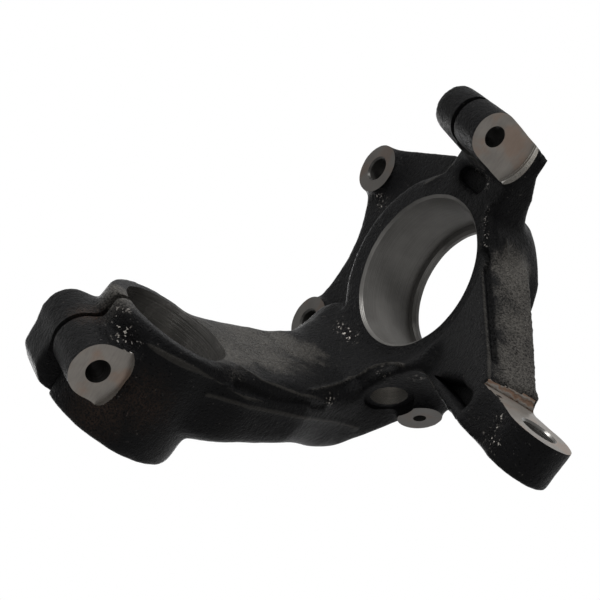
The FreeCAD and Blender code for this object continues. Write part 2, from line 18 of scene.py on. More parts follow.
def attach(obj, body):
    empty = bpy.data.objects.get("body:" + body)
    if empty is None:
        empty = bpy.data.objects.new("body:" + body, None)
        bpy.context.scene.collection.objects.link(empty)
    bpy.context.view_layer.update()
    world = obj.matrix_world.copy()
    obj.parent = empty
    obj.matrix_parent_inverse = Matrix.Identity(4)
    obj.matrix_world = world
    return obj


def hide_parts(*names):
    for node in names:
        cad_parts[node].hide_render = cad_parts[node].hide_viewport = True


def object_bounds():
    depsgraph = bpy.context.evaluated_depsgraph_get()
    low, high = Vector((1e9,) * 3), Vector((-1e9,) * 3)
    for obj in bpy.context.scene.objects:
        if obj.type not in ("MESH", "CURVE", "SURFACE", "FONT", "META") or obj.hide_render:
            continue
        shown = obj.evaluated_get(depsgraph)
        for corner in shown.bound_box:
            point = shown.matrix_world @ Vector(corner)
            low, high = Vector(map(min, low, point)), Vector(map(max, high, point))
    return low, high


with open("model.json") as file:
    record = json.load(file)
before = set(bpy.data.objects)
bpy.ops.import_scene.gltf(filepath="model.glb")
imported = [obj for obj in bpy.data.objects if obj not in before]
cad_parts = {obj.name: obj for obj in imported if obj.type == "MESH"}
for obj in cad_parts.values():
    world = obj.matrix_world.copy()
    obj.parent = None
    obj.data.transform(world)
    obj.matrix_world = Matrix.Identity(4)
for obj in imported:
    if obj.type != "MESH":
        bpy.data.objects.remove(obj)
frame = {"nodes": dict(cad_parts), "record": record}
CAD_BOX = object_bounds()

bl_info = {
    "name": "Cast steering knuckle",
    "version": (1, 0, 0),
    "blender": (4, 5, 0),
    "location": "View3D > Sidebar > Knuckle",
    "description": "Builds a cast steering knuckle with its machined seats, and a plain stage for it",
    "category": "Object",
}

NODE = "knuckle_casting"
MM = 0.001
MOUNTS = {mount["name"]: mount for mount in frame["record"]["mounts"]}

# All sizes below are in millimetres and all angles in degrees.
# The bearing seat, the lip behind it, and the metal that fills it before it is cut.
SEAT_HALF = 18.5
LIP_RADIUS = 36.8
LIP_END = 22.2
EDGE_BREAK = 1.5
SEAT_FILL = 2.0

# The strut clamp with its pinch ears, the milling cutter's round pad and the slit.
STRUT_LEAN = 4.75
STRUT_WALL = 7.9
PINCH_ROUND = 14.0
PINCH_ROOT = 13.0
PINCH_SPAN = 54.0
PINCH_OUT = 34.8
PINCH_CUT = 25.3
PINCH_BACK = 11.5
PINCH_BAND = 14.9
SLIT = 3.5

# The ball-joint clamp with its stud bore, its cut face and the ledge beside that face.
STUD_TILT = 13.5
STUD_OFFSET = 13.5
STUD_END = -16.8
JOINT_ROUND = 12.8
JOINT_ROOT = 28.0
JOINT_SPAN = 40.0
JOINT_CUT = 25.0
JOINT_LEDGE = 1.5
JOINT_OVERLAP = 0.1
JOINT_SLIT_TOP = 1.2 * JOINT_ROUND

# The shallow pocket over the ball-joint clamp.
NECK_POCKET_PLACE = (5.0, -SEAT_HALF, -54.5)
NECK_POCKET_HALF = 7.5
NECK_POCKET_ROUND = 4.6
NECK_POCKET_DEPTH = 5.0
NECK_POCKET_ROOM = 4.0

# The steering arm's milled end, and the pocket in its flank.
TIE_ROUND = 16.8
TIE_FACE = 8.2
TIE_BACK = 22.5
TIE_SLANT = 20.2
TIE_SWEEP = 67.2
TIE_ROOM = 50.4
FLANK_PLACE = (-95.0, -38.2, 0.0)
FLANK_FACING = (0.348, -0.937, 0.0)
POCKET_TIP = (26.0, 28.0)
POCKET_END = (-22.0, 19.9)
POCKET_ROUND = 4.3
POCKET_BEND = (-1.0, 17.6)
POCKET_DEPTH = 9.0

# The caliper ears, both sensor seats, and what every hole and cut has in common.
EAR_ROUND = 14.7
SENSOR_FACE = 13.0
SCREW_FACE = 11.8
SEAT_ROOM = 16.5
HOLE_BREAK = 1.0
SPARE = 3.0
FAR = 60.0

# Sides of the round tools, and steps of their arcs.
SEAT_SIDES = 160
STRUT_SIDES = 128
DRUM_SIDES = 96
HOLE_SIDES = 64
BOLT_SIDES = 48
ARC_STEPS = 16
EAR_STEPS = 20
SWEEP_STEPS = 24

# Smoothing of the skin: the share of each pull that hollow and proud places follow, and passes.
HOLLOW_SHARE = 0.5
PROUD_SHARE = 0.16
EVEN_PASSES = 4
NORMALS_EVERY = 4

# Ridges, paint streaks and places of painted glints: the step along a way, and how far from it the skin is
# still looked at.
WAY_PITCH = 0.8
WAY_REACH = 3.0
WAY_DEPTH = 4.0

# The string of beads: step, height, change of height from bead to bead, and radius.
BEAD_PITCH = 2.3
BEAD_HEIGHT = 0.9
BEAD_CHANGE = 0.3
BEAD_TURN = 2.4
BEAD_RADIUS = 1.1

# The skin's long waves and its sand grain: their lengths, and how deep the waves sink the skin.
WAVE_LENGTH = 9.0
SAND_LENGTH = 2.6
WAVE_SINK = 0.3
SHARP_ANGLE = 38.0

# Finishes of the casting, in the order of its material slots.
ZONES = (
    "cast_paint", "bored_seat", "strut_bore", "faced_pad",
    "faced_ear", "milled_wall", "bright_bore", "dark_bore",
)

# Patterns of the finishes, by the length of their features.
GRAIN_SIZE = 0.9
PEEL_SIZE = 2.4
PATCH_SIZE = 24.0
PIT_SIZE = 1.7
# Painted glints: the size of their dots and of the clusters that the dots gather in.
GLINT_DOT_SIZE = 1.0
GLINT_CLUSTER_SIZE = 2.2
BORE_CLOUD = 13.0
FACE_MARKS = 0.7
FACE_CLOUD = 9.0
FACE_BLOOM = 12.0
MILLED_CLOUD = 5.0
MILLED_SHIFT = 3.0
FLOOR_CLOUD = 60.0

# The paint: where a pattern fades in, how much of it shows, and how bright it is against its colour.
# Sheen spots: sand grain laid on as painted sheen where faces catch the key lamp.
SHEEN_RAGGED = 0.6
SHEEN_FADE = (0.05, 0.8)
SAND_AND_SHEEN_FADE = (0.68, 1.16)
SAND_FADE = (0.36, 0.64)
# Sand tones, darker in the grain's hollows and lighter on its tops: painted shade and light.
SAND_SHADE_AND_LIGHT_TONES = (0.66, 1.24)
RUST_RAGGED = 0.7
RUST_FADE = (0.38, 0.62)
RUST_SHARE = 0.6
# Pits: painted shade in the hollows of the sand print.
PIT_FADE = (0.10, 0.34)
PIT_SHARE = 0.7
PIT_SHADE_TONE = 0.5
# Grooves: painted shade over the pooled paint there.
GROOVE_FADE = (0.15, 0.75)
GROOVE_SHARE = 0.9
GROOVE_TONE = 0.35
RIDGE_FADE = (0.45, 0.95)
RIDGE_SHARE = 0.45
RUN_SHARE = 0.9
RUN_TONE = 0.3
# Painted glints: where the dots fade in, dense where the paint ran thick and sparse elsewhere, and their
# tone against bare iron.
GLINT_DOT_FADE = (0.57, 0.67)
STRAY_GLINT_FADE = (0.64, 0.74)
STRAY_GLINT_SHARE = 0.1
PAINTED_GLINT_TONE = 2.6
PAINT_ROUGHNESS = 0.40
PAINT_SPECULAR = 0.035
SKIN_BUMP = 1.2

# Bored walls: the rings' pitch, the tone against the bored colour, the metallic share and the roughness.
BORED_WALLS = {
    "bored_seat": (0.5, 1.35, 0.3, 0.34),
    "strut_bore": (0.7, 1.9, 0.7, 0.26),
    # A painted reflection: the sensor bore's wall and the ball-joint ledge wall, far lighter than bored
    # iron.
    "bright_bore": (0.6, 4.4, 0.8, 0.2),
    # Painted shade: the bolt and screw holes, darker than bored iron.
    "dark_bore": (0.6, 0.5, 0.5, 0.3),
}

# Faced places: the tone against bare iron.
FACED_TONES = {"faced_pad": 1.25, "faced_ear": 0.4}


class KnuckleLook(bpy.types.PropertyGroup):
    """Sizes and colours of the knuckle's looks."""

    grain: FloatProperty(
        name="Mesh grain", description="Edge length of the casting's skin", default=1.18 * MM, unit="LENGTH"
    )
    rounding: IntProperty(
        name="Edge rounding", description="Smoothing passes that fill the corners of the casting", default=22
    )
    wave: FloatProperty(
        name="Cast waves", description="Height of the casting's long waves", default=0.16 * MM, unit="LENGTH"
    )
    sand_height: FloatProperty(
        name="Sand grain", description="Height of the sand's print", default=0.07 * MM, unit="LENGTH"
    )
    paint: FloatVectorProperty(
        name="Paint", description="Thin black paint on the casting",
        default=(0.0055, 0.0055, 0.0058), subtype="COLOR", min=0.0, max=1.0,
    )
    sand: FloatVectorProperty(
        name="Sand skin", description="Grains that show grey through the paint",
        default=(0.064, 0.060, 0.054), subtype="COLOR", min=0.0, max=1.0,
    )
    rust: FloatVectorProperty(
        name="Rust", description="Brown tint beside the strut clamp's pad",
        default=(0.055, 0.035, 0.025), subtype="COLOR", min=0.0, max=1.0,
    )
    iron: FloatVectorProperty(
        name="Bare iron", description="Faced pads and ears",
        default=(0.165, 0.152, 0.137), subtype="COLOR", min=0.0, max=1.0,
    )
    bored: FloatVectorProperty(
        name="Bored iron", description="Walls of the bored seats",
        default=(0.092, 0.089, 0.084), subtype="COLOR", min=0.0, max=1.0,
    )
    milled: FloatVectorProperty(
        name="Milled wall", description="Brownish wall beside the tie-rod face",
        default=(0.165, 0.104, 0.071), subtype="COLOR", min=0.0, max=1.0,
    )
    floor: FloatVectorProperty(
        name="Floor", description="Plain pale floor",
        default=(0.85, 0.85, 0.85), subtype="COLOR", min=0.0, max=1.0,
    )


def look():
    """The scene's sizes and colours."""
    return bpy.context.scene.knuckle_look


def shade(colour, factor):
    """A colour made darker or lighter."""
    return [part * factor for part in colour]


# Shader maths as Python expressions.
class Wire:
    """A shader socket that can be used in an expression."""

    def __init__(self, shader, socket):
        self.shader = shader
        self.socket = socket

    def maths(self, operation, first, second=0.0):
        """One Math node on two values."""
        return self.shader.node("ShaderNodeMath", {"operation": operation}, {0: first, 1: second})

    def __add__(self, other):
        return self.maths("ADD", self, other)

    def __radd__(self, other):
        return self.maths("ADD", other, self)

    def __sub__(self, other):
        return self.maths("SUBTRACT", self, other)

    def __rsub__(self, other):
        return self.maths("SUBTRACT", other, self)

    def __mul__(self, other):
        return self.maths("MULTIPLY", self, other)

    def __rmul__(self, other):
        return self.maths("MULTIPLY", other, self)

    def wave(self):
        """The sine of the value."""
        return self.maths("SINE", self)

    def most(self, other):
        """The larger of two values."""
        return self.maths("MAXIMUM", self, other)

    def between(self, low, high):
        """0 at low and 1 at high, with a soft step."""
        return self.shader.node(
            "ShaderNodeMapRange", {"interpolation_type": "SMOOTHSTEP", "clamp": True},
            {"Value": self, "From Min": low, "From Max": high},
        )


def opaque(colour):
    """A plain colour with its alpha, or a linked colour as it is."""
    return colour if isinstance(colour, Wire) else tuple(colour) + (1.0,)


class Shader:
    """An emptied node tree to which nodes are added."""

    def __init__(self, owner):
        owner.use_nodes = True
        self.tree = owner.node_tree
        self.tree.nodes.clear()

    def node(self, kind, settings, values, output=0):
        """One node of any kind: its settings, its values or links, and the output that is wanted."""
        made = self.tree.nodes.new(kind)
        for name, value in settings.items():
            setattr(made, name, value)
        for key, value in values.items():
            if isinstance(value, Wire):
                self.tree.links.new(value.socket, made.inputs[key])
            else:
                made.inputs[key].default_value = value
        if made.outputs:
            return Wire(self, made.outputs[output])


class Finish(Shader):
    """A material under construction."""

    def __init__(self, name):
        self.material = bpy.data.materials.new(name)
        super().__init__(self.material)
        self.place = self.node("ShaderNodeTexCoord", {}, {}, "Object")

    def noise(self, size_mm, detail=2.0, stretch=(1.0, 1.0, 1.0), roughness=0.5):
        """Noise whose features measure about that many millimetres, stretched along the axes."""
        scaled = self.node(
            "ShaderNodeVectorMath", {"operation": "MULTIPLY"},
            {0: self.place, 1: [1.0 / part for part in stretch]},
        )
        return self.node(
            "ShaderNodeTexNoise", {},
            {"Vector": scaled, "Scale": 1.0 / (size_mm * MM), "Detail": detail, "Roughness": roughness},
        )

    def cells(self, size_mm):
        """Distance to the nearest of scattered points, 0 at a point."""
        return self.node(
            "ShaderNodeTexVoronoi", {"feature": "F1"},
            {"Vector": self.place, "Scale": 1.0 / (size_mm * MM)}, "Distance",
        )

    def mix(self, amount, first, second):
        """A colour between two colours."""
        return self.node(
            "ShaderNodeMix", {"data_type": "RGBA"}, {0: amount, 6: opaque(first), 7: opaque(second)}, 2
        )

    def mark(self, name):
        """A mark that the mesh carries."""
        return self.node("ShaderNodeAttribute", {"attribute_name": name}, {}, "Fac")

    def near(self, point_mm, reach_mm, ragged=0.0):
        """1 at a point of the part and 0 past its reach."""
        away = self.node(
            "ShaderNodeVectorMath", {"operation": "DISTANCE"},
            {0: self.place, 1: shade(point_mm, MM)}, "Value",
        )
        if ragged:
            away = away + (self.noise(reach_mm / 4.0) - 0.5) * (ragged * reach_mm * MM)
        return 1.0 - away.between(0.0, reach_mm * MM)

    def spots(self, places, ragged):
        """1 at any of some places, each a point and a reach."""
        covered = self.near(*places[0], ragged)
        for point_mm, reach_mm in places[1:]:
            covered = covered.most(self.near(point_mm, reach_mm, ragged))
        return covered

    def along(self, axis):
        """The place along an axis of the part, in millimetres."""
        return self.node(
            "ShaderNodeVectorMath", {"operation": "DOT_PRODUCT"},
            {0: self.place, 1: shade(axis, 1.0 / MM)}, "Value",
        )

    def bump(self, height, distance_mm, strength=1.0):
        """A normal bent by a height."""
        return self.node(
            "ShaderNodeBump", {},
            {"Height": height, "Distance": distance_mm * MM, "Strength": strength}, "Normal",
        )

    def surface(self, **values):
        """A principled surface from its inputs' values."""
        settings = {}
        for name, value in values.items():
            settings[name.replace("_", " ").title().replace("Ior", "IOR")] = value
        settings["Base Color"] = opaque(settings["Base Color"])
        return self.node("ShaderNodeBsdfPrincipled", {}, settings)

    def finish(self, surface):
        """The material with its surface."""
        self.node("ShaderNodeOutputMaterial", {}, {"Surface": surface})
        return self.material


# Places of painted sheen, sand grain laid on faces that catch the key lamp, and of brown stains, each a
# point and its reach in millimetres.
SHEEN_SPOTS = [
    ((-54.0, -1.0, -34.0), 38.0), ((-74.0, -5.0, -26.0), 38.0), ((-92.0, -11.0, -17.0), 38.0),
    ((-108.0, -18.0, -8.0), 38.0), ((-120.0, -24.0, -1.0), 34.0),
    ((-22.0, -118.0, 71.0), 48.0), ((-12.0, -86.0, 66.0), 48.0), ((2.0, -56.0, 60.0), 34.0),
    ((-24.0, -176.0, 66.0), 26.0),
]
RUST_SPOTS = [((-53.0, -168.0, 112.0), 22.0), ((-50.0, -150.0, 100.0), 22.0), ((-24.0, -180.0, 84.0), 12.0)]


def paint_colour(kit, grain, patches, pits, covered):
    """Black paint: sand grain laid on as painted sheen, painted shade in pits and grain hollows, brown in
    places, paler on worn ridges, black in grooves from pooled paint and painted shade, and black where it
    ran thick.
    """
    paint = look().paint
    # Painted sheen: the sand grain laid on the faces that catch the key lamp.
    sheen = kit.spots(SHEEN_SPOTS, SHEEN_RAGGED).between(*SHEEN_FADE)
    wear = kit.mark("wear")
    sand_and_sheen = (patches * 0.4 + grain * 0.75 + sheen * 0.42).between(*SAND_AND_SHEEN_FADE)
    # The grain's tops are lighter and its hollows darker: painted light and shade.
    sand = kit.mix(grain.between(*SAND_FADE), *[shade(look().sand, tone) for tone in SAND_SHADE_AND_LIGHT_TONES])
    brown = kit.spots(RUST_SPOTS, RUST_RAGGED) * grain.between(*RUST_FADE)
    colour = kit.mix(sand_and_sheen, paint, sand)
    # Painted shade in the pits.
    colour = kit.mix(pits * PIT_SHARE, colour, shade(paint, PIT_SHADE_TONE))
    colour = kit.mix(brown * RUST_SHARE, colour, look().rust)
    # Painted shade in the grooves, over pooled paint.
    colour = kit.mix((wear * -1.0).between(*GROOVE_FADE) * GROOVE_SHARE, colour, shade(paint, GROOVE_TONE))
    colour = kit.mix(wear.between(*RIDGE_FADE) * RIDGE_SHARE, colour, look().sand)
    return kit.mix(covered * RUN_SHARE, colour, shade(paint, RUN_TONE))


def cast_paint():
    """Thin satin black paint over a sand-cast skin, darker and glossier where it ran thick, with painted
    glints as light grey dots, dense where it ran thick and sparse elsewhere.
    """
    kit = Finish("cast_paint")
    grain = kit.noise(GRAIN_SIZE, 3.0, roughness=0.65)
    peel = kit.noise(PEEL_SIZE)
    patches = kit.noise(PATCH_SIZE)
    pits = 1.0 - kit.cells(PIT_SIZE).between(*PIT_FADE)
    covered = kit.mark("runs")
    satin = kit.surface(
        base_color=paint_colour(kit, grain, patches, pits, covered),
        roughness=PAINT_ROUGHNESS + (grain - 0.5) * 0.3 + (patches - 0.5) * 0.15 - covered * 0.15,
        specular_ior_level=PAINT_SPECULAR,
        normal=kit.bump(grain * 0.5 + peel * 0.6 - pits * 0.25, SKIN_BUMP),
    )
    # A painted glint: light grey glossy paint mixed in as small dots.
    painted_glint = kit.surface(
        base_color=shade(look().iron, PAINTED_GLINT_TONE),
        roughness=0.2,
        specular_ior_level=0.5,
        normal=kit.bump(peel, SKIN_BUMP),
    )
    # Dots of painted glints, dense where the paint ran thick and sparse elsewhere.
    glint_dots = kit.noise(GLINT_DOT_SIZE, 1.0, (1.0, 1.5, 1.0)) * 0.5 + kit.noise(GLINT_CLUSTER_SIZE, 1.0) * 0.5
    painted_glint_mask = covered * glint_dots.between(*GLINT_DOT_FADE) + glint_dots.between(*STRAY_GLINT_FADE) * STRAY_GLINT_SHARE
    return kit.finish(kit.node("ShaderNodeMixShader", {}, {0: painted_glint_mask, 1: satin, 2: painted_glint}))


def bored_wall(name, axis):
    """A bored wall with the tool's fine rings across its axis."""
    pitch_mm, brightness, metallic, roughness = BORED_WALLS[name]
    kit = Finish(name)
    rings = kit.node(
        "ShaderNodeTexNoise", {"noise_dimensions": "1D"},
        {"W": kit.along(axis), "Scale": 1.0 / pitch_mm, "Detail": 3.0},
    )
    cloud = kit.noise(BORE_CLOUD, 3.0)
    tone = (rings * 0.45 + cloud * 0.55).between(0.3, 0.7)
    # The tone against bored iron carries a painted reflection in the brightest bores and painted shade in
    # the darkest.
    colour = shade(look().bored, brightness)
    return kit.finish(kit.surface(
        base_color=kit.mix(tone, shade(colour, 0.76), shade(colour, 1.15)),
        metallic=metallic,
        roughness=roughness + (cloud - 0.5) * 0.2,
        specular_ior_level=0.06,
        normal=kit.bump(rings, 0.12),
    ))


def faced_metal(name):
    """A spot-faced pad: bare iron with fine tool marks and a faint brown bloom."""
    kit = Finish(name)
    marks = kit.noise(FACE_MARKS, 3.0, (1.0, 1.0, 7.0))
    cloud = kit.noise(FACE_CLOUD, 3.0)
    tone = (marks * 0.4 + cloud * 0.6).between(0.3, 0.7)
    iron = shade(look().iron, FACED_TONES[name])
    brown = shade(look().milled, FACED_TONES[name])
    bloom = kit.noise(FACE_BLOOM, 3.0).between(0.44, 0.66) * 0.5
    colour = kit.mix(bloom, kit.mix(tone, shade(iron, 0.74), iron), brown)
    return kit.finish(kit.surface(
        base_color=colour,
        metallic=0.45,
        roughness=0.42 + (marks - 0.5) * 0.25,
        specular_ior_level=0.2,
        normal=kit.bump(marks, 0.06, 0.7),
    ))


def milled_wall():
    """The wall that the milling cutter leaves, with its scallops and brown tint."""
    kit = Finish("milled_wall")
    level = kit.along((0.0, 0.0, 1.0))
    steps = (level * 2.2 + kit.noise(MILLED_SHIFT) * 9.0).wave() * 0.5 + 0.5
    cloud = kit.noise(MILLED_CLOUD, 3.0)
    tone = (steps * 0.4 + cloud * 0.6).between(0.3, 0.75)
    return kit.finish(kit.surface(
        base_color=kit.mix(tone, look().milled, shade(look().iron, 1.25)),
        metallic=0.5,
        roughness=0.36,
        specular_ior_level=0.3,
        normal=kit.bump(steps, 0.15, 0.8),
    ))


# Meshes of fillings and tools.
def add_object(name, mesh):
    """A new object that holds a mesh."""
    thing = bpy.data.objects.new(name, mesh)
    bpy.context.scene.collection.objects.link(thing)
    return thing


def mesh_from(name, points, faces):
    """A mesh from points in millimetres, with its faces turned outward."""
    mesh = bpy.data.meshes.new(name)
    mesh.from_pydata([Vector(point) * MM for point in points], [], faces)
    builder = bmesh.new()
    builder.from_mesh(mesh)
    bmesh.ops.recalc_face_normals(builder, faces=builder.faces)
    builder.to_mesh(mesh)
    builder.free()
    return mesh


def frame_of(origin, axis, hint=(0.0, 0.0, 1.0)):
    """A placement whose local z is the axis and whose local x lies square to the hint."""
    z = Vector(axis).normalized()
    x = Vector(hint).cross(z)
    if x.length < 1e-6:
        x = Vector((1.0, 0.0, 0.0)).cross(z)
    x.normalize()
    placed = Matrix((x, z.cross(x), z)).transposed().to_4x4()
    placed.translation = Vector(origin)
    return placed


def mount_frame(name):
    """The placement of a mount, its z along the mount's axis."""
    mount = MOUNTS[name]
    return frame_of(shade(mount["pos_m"], 1.0 / MM), mount["axis"])


def cross_frame(name, lean):
    """A placement across a pinch bolt: x outboard and y up, both leaned, and z along the car."""
    turn = math.radians(lean)
    x = Vector((0.0, math.cos(turn), math.sin(turn)))
    y = Vector((0.0, -math.sin(turn), math.cos(turn)))
    placed = Matrix((x, y, Vector((1.0, 0.0, 0.0)))).transposed().to_4x4()
    placed.translation = Vector(shade(MOUNTS[name]["pos_m"], 1.0 / MM))
    return placed


def arc(middle, radius, start, end, steps=ARC_STEPS):
    """Points of an arc, its angles in degrees."""
    points = []
    for step in range(steps + 1):
        angle = math.radians(start + (end - start) * step / steps)
        points.append((middle[0] + radius * math.cos(angle), middle[1] + radius * math.sin(angle)))
    return points


class Tool:
    """A solid with a placement, and the finish that each of its faces leaves in the casting."""

    # How near a face lies to the tool's wall, how far its normal may lean along it, and how upright
    # a normal is on the milled floor and on a lid.
    close = 0.1
    slope = 0.35
    level = 0.9
    square = 0.95

    def __init__(self, name, placed, finish):
        self.name = name
        self.placed = placed
        self.finish = finish

    def local(self, places, normals):
        """Places and normals of the casting as the tool sees them, in millimetres."""
        turn = np.array(self.placed.to_3x3())
        centre = np.array(self.placed.translation)
        return (places / MM - centre) @ turn, normals @ turn

    def on_edge(self, x, y, across, up, start, end):
        """Which flat places lie on the edge from start to end, with their normals square to it."""
        edge = np.subtract(end, start)
        length = max(np.hypot(*edge), 1e-9)
        edge = edge / length
        ahead = (x - start[0]) * edge[0] + (y - start[1]) * edge[1]
        aside = (x - start[0]) * edge[1] - (y - start[1]) * edge[0]
        slant = across * edge[0] + up * edge[1]
        inside = (ahead > -self.close) & (ahead < length + self.close)
        return inside & (abs(aside) < self.close) & (abs(slant) < self.slope)


class Turned(Tool):
    """A solid turned about its placement's z. Its profile runs from axis to axis, as radius and level."""

    def __init__(self, name, placed, profile, finish, steps=DRUM_SIDES):
        super().__init__(name, placed, finish)
        self.profile = profile
        self.steps = steps

    def mesh(self):
        """Rings of points with a tip at either end."""
        points = [self.placed @ Vector((0.0, 0.0, self.profile[end][1])) for end in (0, -1)]
        rings = self.profile[1:-1]
        for radius, level in rings:
            for x, y in arc((0.0, 0.0), radius, 0.0, 360.0, self.steps)[:-1]:
                points.append(self.placed @ Vector((x, y, level)))
        faces = []
        last = 2 + (len(rings) - 1) * self.steps
        for step in range(self.steps):
            after = (step + 1) % self.steps
            faces.append((0, 2 + after, 2 + step))
            faces.append((1, last + step, last + after))
            for start in range(2, last, self.steps):
                over = start + self.steps
                faces.append((start + step, start + after, over + after, over + step))
        return mesh_from(self.name, points, faces)

    def touches(self, places, normals):
        """Which places of the casting the turned profile has cut."""
        place, normal = self.local(places, normals)
        radius = np.hypot(place[:, 0], place[:, 1])
        outward = (place[:, 0] * normal[:, 0] + place[:, 1] * normal[:, 1]) / np.maximum(radius, 1e-6)
        found = np.zeros(len(places), dtype=bool)
        for start, end in zip(self.profile, self.profile[1:]):
            found |= self.on_edge(radius, place[:, 2], outward, normal[:, 2], start, end)
        return found


class Prism(Tool):
    """A straight solid over a flat outline, from low to high along its placement's z."""

    def __init__(self, name, placed, outline, low, high, finish):
        super().__init__(name, placed, finish)
        self.outline = outline
        self.low = low
        self.high = high

    def mesh(self):
        """Two lids and a side face for each stretch of the outline."""
        count = len(self.outline)
        points = []
        for level in (self.low, self.high):
            points += [self.placed @ Vector((x, y, level)) for x, y in self.outline]
        faces = [tuple(range(count))[::-1], tuple(range(count, 2 * count))]
        for index in range(count):
            after = (index + 1) % count
            faces.append((index, after, count + after, count + index))
        return mesh_from(self.name, points, faces)

    def touches(self, places, normals):
        """Which places of the casting the sides or lids have cut."""
        place, normal = self.local(places, normals)
        x, y, level = place.T
        found = np.zeros(len(places), dtype=bool)
        for start, end in zip(self.outline, self.outline[1:] + self.outline[:1]):
            found |= self.on_edge(x, y, normal[:, 0], normal[:, 1], start, end)
        found &= (level > self.low - self.close) & (level < self.high + self.close)
        corners = np.array(self.outline)
        low, high = corners.min(axis=0), corners.max(axis=0)
        within = (x > low[0]) & (x < high[0]) & (y > low[1]) & (y < high[1])
        within &= abs(normal[:, 2]) > self.square
        return found | (within & (np.minimum(abs(level - self.low), abs(level - self.high)) < self.close))


def drum(name, placed, radius, low, high, finish="cast_paint", steps=DRUM_SIDES):
    """A plain cylinder about the placement's z."""
    return Turned(name, placed, [(0.0, low), (radius, low), (radius, high), (0.0, high)], finish, steps)


def broken_hole(name, placed, radius, low, high, finish, mouth=HOLE_BREAK):
    """A through hole whose two mouths are broken by a small chamfer."""
    wide = radius + mouth + SPARE
    profile = [
        (0.0, low - SPARE), (wide, low - SPARE), (radius, low + mouth),
        (radius, high - mouth), (wide, high + SPARE), (0.0, high + SPARE),
    ]
    return Turned(name, placed, profile, finish, HOLE_SIDES)


def ear_outline(reach, radius):
    """A half-round ear with straight flanks that run to the reach."""
    return [(reach, -radius), (reach, radius)] + arc((0.0, 0.0), radius, 90.0, 270.0, EAR_STEPS)


def tie_outline():
    """The milled area at the steering arm's end, seen along Z, with the cutter's hollow wall."""
    tie_x, tie_y = shade(MOUNTS["tie_rod_hole"]["pos_m"][:2], 1.0 / MM)
    start = Vector((tie_x + TIE_BACK + TIE_SLANT / 2, tie_y - TIE_ROOM / 2))
    end = Vector((tie_x + TIE_BACK - TIE_SLANT / 2, tie_y + TIE_ROOM / 2))
    chord = end - start
    rise = math.sqrt(TIE_SWEEP ** 2 - (chord.length / 2) ** 2)
    middle = (start + end) / 2 + Vector((-chord.y, chord.x)).normalized() * rise
    angles = [math.degrees(math.atan2(point.y - middle.y, point.x - middle.x)) for point in (start, end)]
    outer = tie_x - 2 * TIE_ROUND
    return arc(middle, TIE_SWEEP, *angles, SWEEP_STEPS) + [(outer, end.y), (outer, start.y)]


def wheel_frame():
    """The placement of the bearing seat, its z along the wheel axis."""
    return frame_of((0, 0, 0), (0, 1, 0))


def fillings():
    """The metal that stood where the machining took it away."""
    strut = MOUNTS["strut_clamp"]["dims"]
    pinch = cross_frame("strut_pinch_bolt", STRUT_LEAN)
    joint = cross_frame("ball_joint_bolt", STUD_TILT)
    half = strut["length_mm"] / 2
    solids = [
        drum("fill_hub", wheel_frame(), MOUNTS["hub_bore"]["dims"]["r_mm"] + SEAT_FILL, -SEAT_HALF, LIP_END),
        drum("fill_strut", mount_frame("strut_clamp"), strut["r_mm"] + STRUT_WALL / 2, -half, half),
    ]
    for name, placed, root, radius, span in (
        ("fill_pinch", pinch, PINCH_ROOT, PINCH_ROUND, PINCH_SPAN),
        ("fill_joint", joint, JOINT_ROOT, JOINT_ROUND, JOINT_SPAN),
    ):
        solids.append(Prism(name, placed, ear_outline(root, radius), -span / 2 - SPARE, span / 2, None))
    for name, radius, over in (
        ("tie_rod_hole", TIE_ROUND, SPARE), ("caliper_bolt_lower", EAR_ROUND, SPARE),
        ("caliper_bolt_upper", EAR_ROUND, SPARE), ("speed_sensor_bore", SENSOR_FACE, 0.0),
        ("speed_sensor_screw", SCREW_FACE, SPARE),
    ):
        depth = MOUNTS[name]["dims"]["length_mm"] / 2
        solids.append(drum("fill_" + name, mount_frame(name), radius, -depth, depth + over))
    return [solid.mesh() for solid in solids]


def hub_tools():
    """The bore of the wheel bearing's seat, its mouth and its lip."""
    radius = MOUNTS["hub_bore"]["dims"]["r_mm"]
    profile = [
        (0.0, -FAR), (radius + EDGE_BREAK, -FAR), (radius + EDGE_BREAK, -SEAT_HALF),
        (radius, EDGE_BREAK - SEAT_HALF), (radius, SEAT_HALF), (LIP_RADIUS + EDGE_BREAK, SEAT_HALF),
        (LIP_RADIUS, SEAT_HALF + EDGE_BREAK), (LIP_RADIUS, FAR), (0.0, FAR),
    ]
    return [Turned("cut_seat", wheel_frame(), profile, "bored_seat", SEAT_SIDES)]


def strut_tools():
    """Bore, slit, bolt hole and spot face of the strut clamp."""
    strut = MOUNTS["strut_clamp"]["dims"]
    barrel = mount_frame("strut_clamp")
    reach = strut["length_mm"] / 2 + SPARE * 2
    pinch = cross_frame("strut_pinch_bolt", STRUT_LEAN)
    slit = [(PINCH_OUT, -FAR), (PINCH_OUT, FAR), (-FAR, FAR), (-FAR, -FAR)]
    side = math.degrees(math.asin(PINCH_BAND / PINCH_CUT))
    face = arc((-PINCH_BACK, 0.0), PINCH_CUT, -side, side)
    face += [(-PINCH_CUT, PINCH_BAND), (-PINCH_CUT, -PINCH_BAND)]
    front = -PINCH_SPAN / 2
    hole = MOUNTS["strut_pinch_bolt"]["dims"]["r_mm"]
    return [
        drum("cut_strut", barrel, strut["r_mm"], -reach, reach, "strut_bore", STRUT_SIDES),
        Prism("cut_strut_slit", pinch, slit, -SLIT / 2, SLIT / 2, "cast_paint"),
        Prism("cut_pinch_face", pinch, face, front - FAR / 2, front, "faced_pad"),
        drum("cut_pinch_hole", pinch, hole, -FAR, FAR, "dark_bore", BOLT_SIDES),
    ]


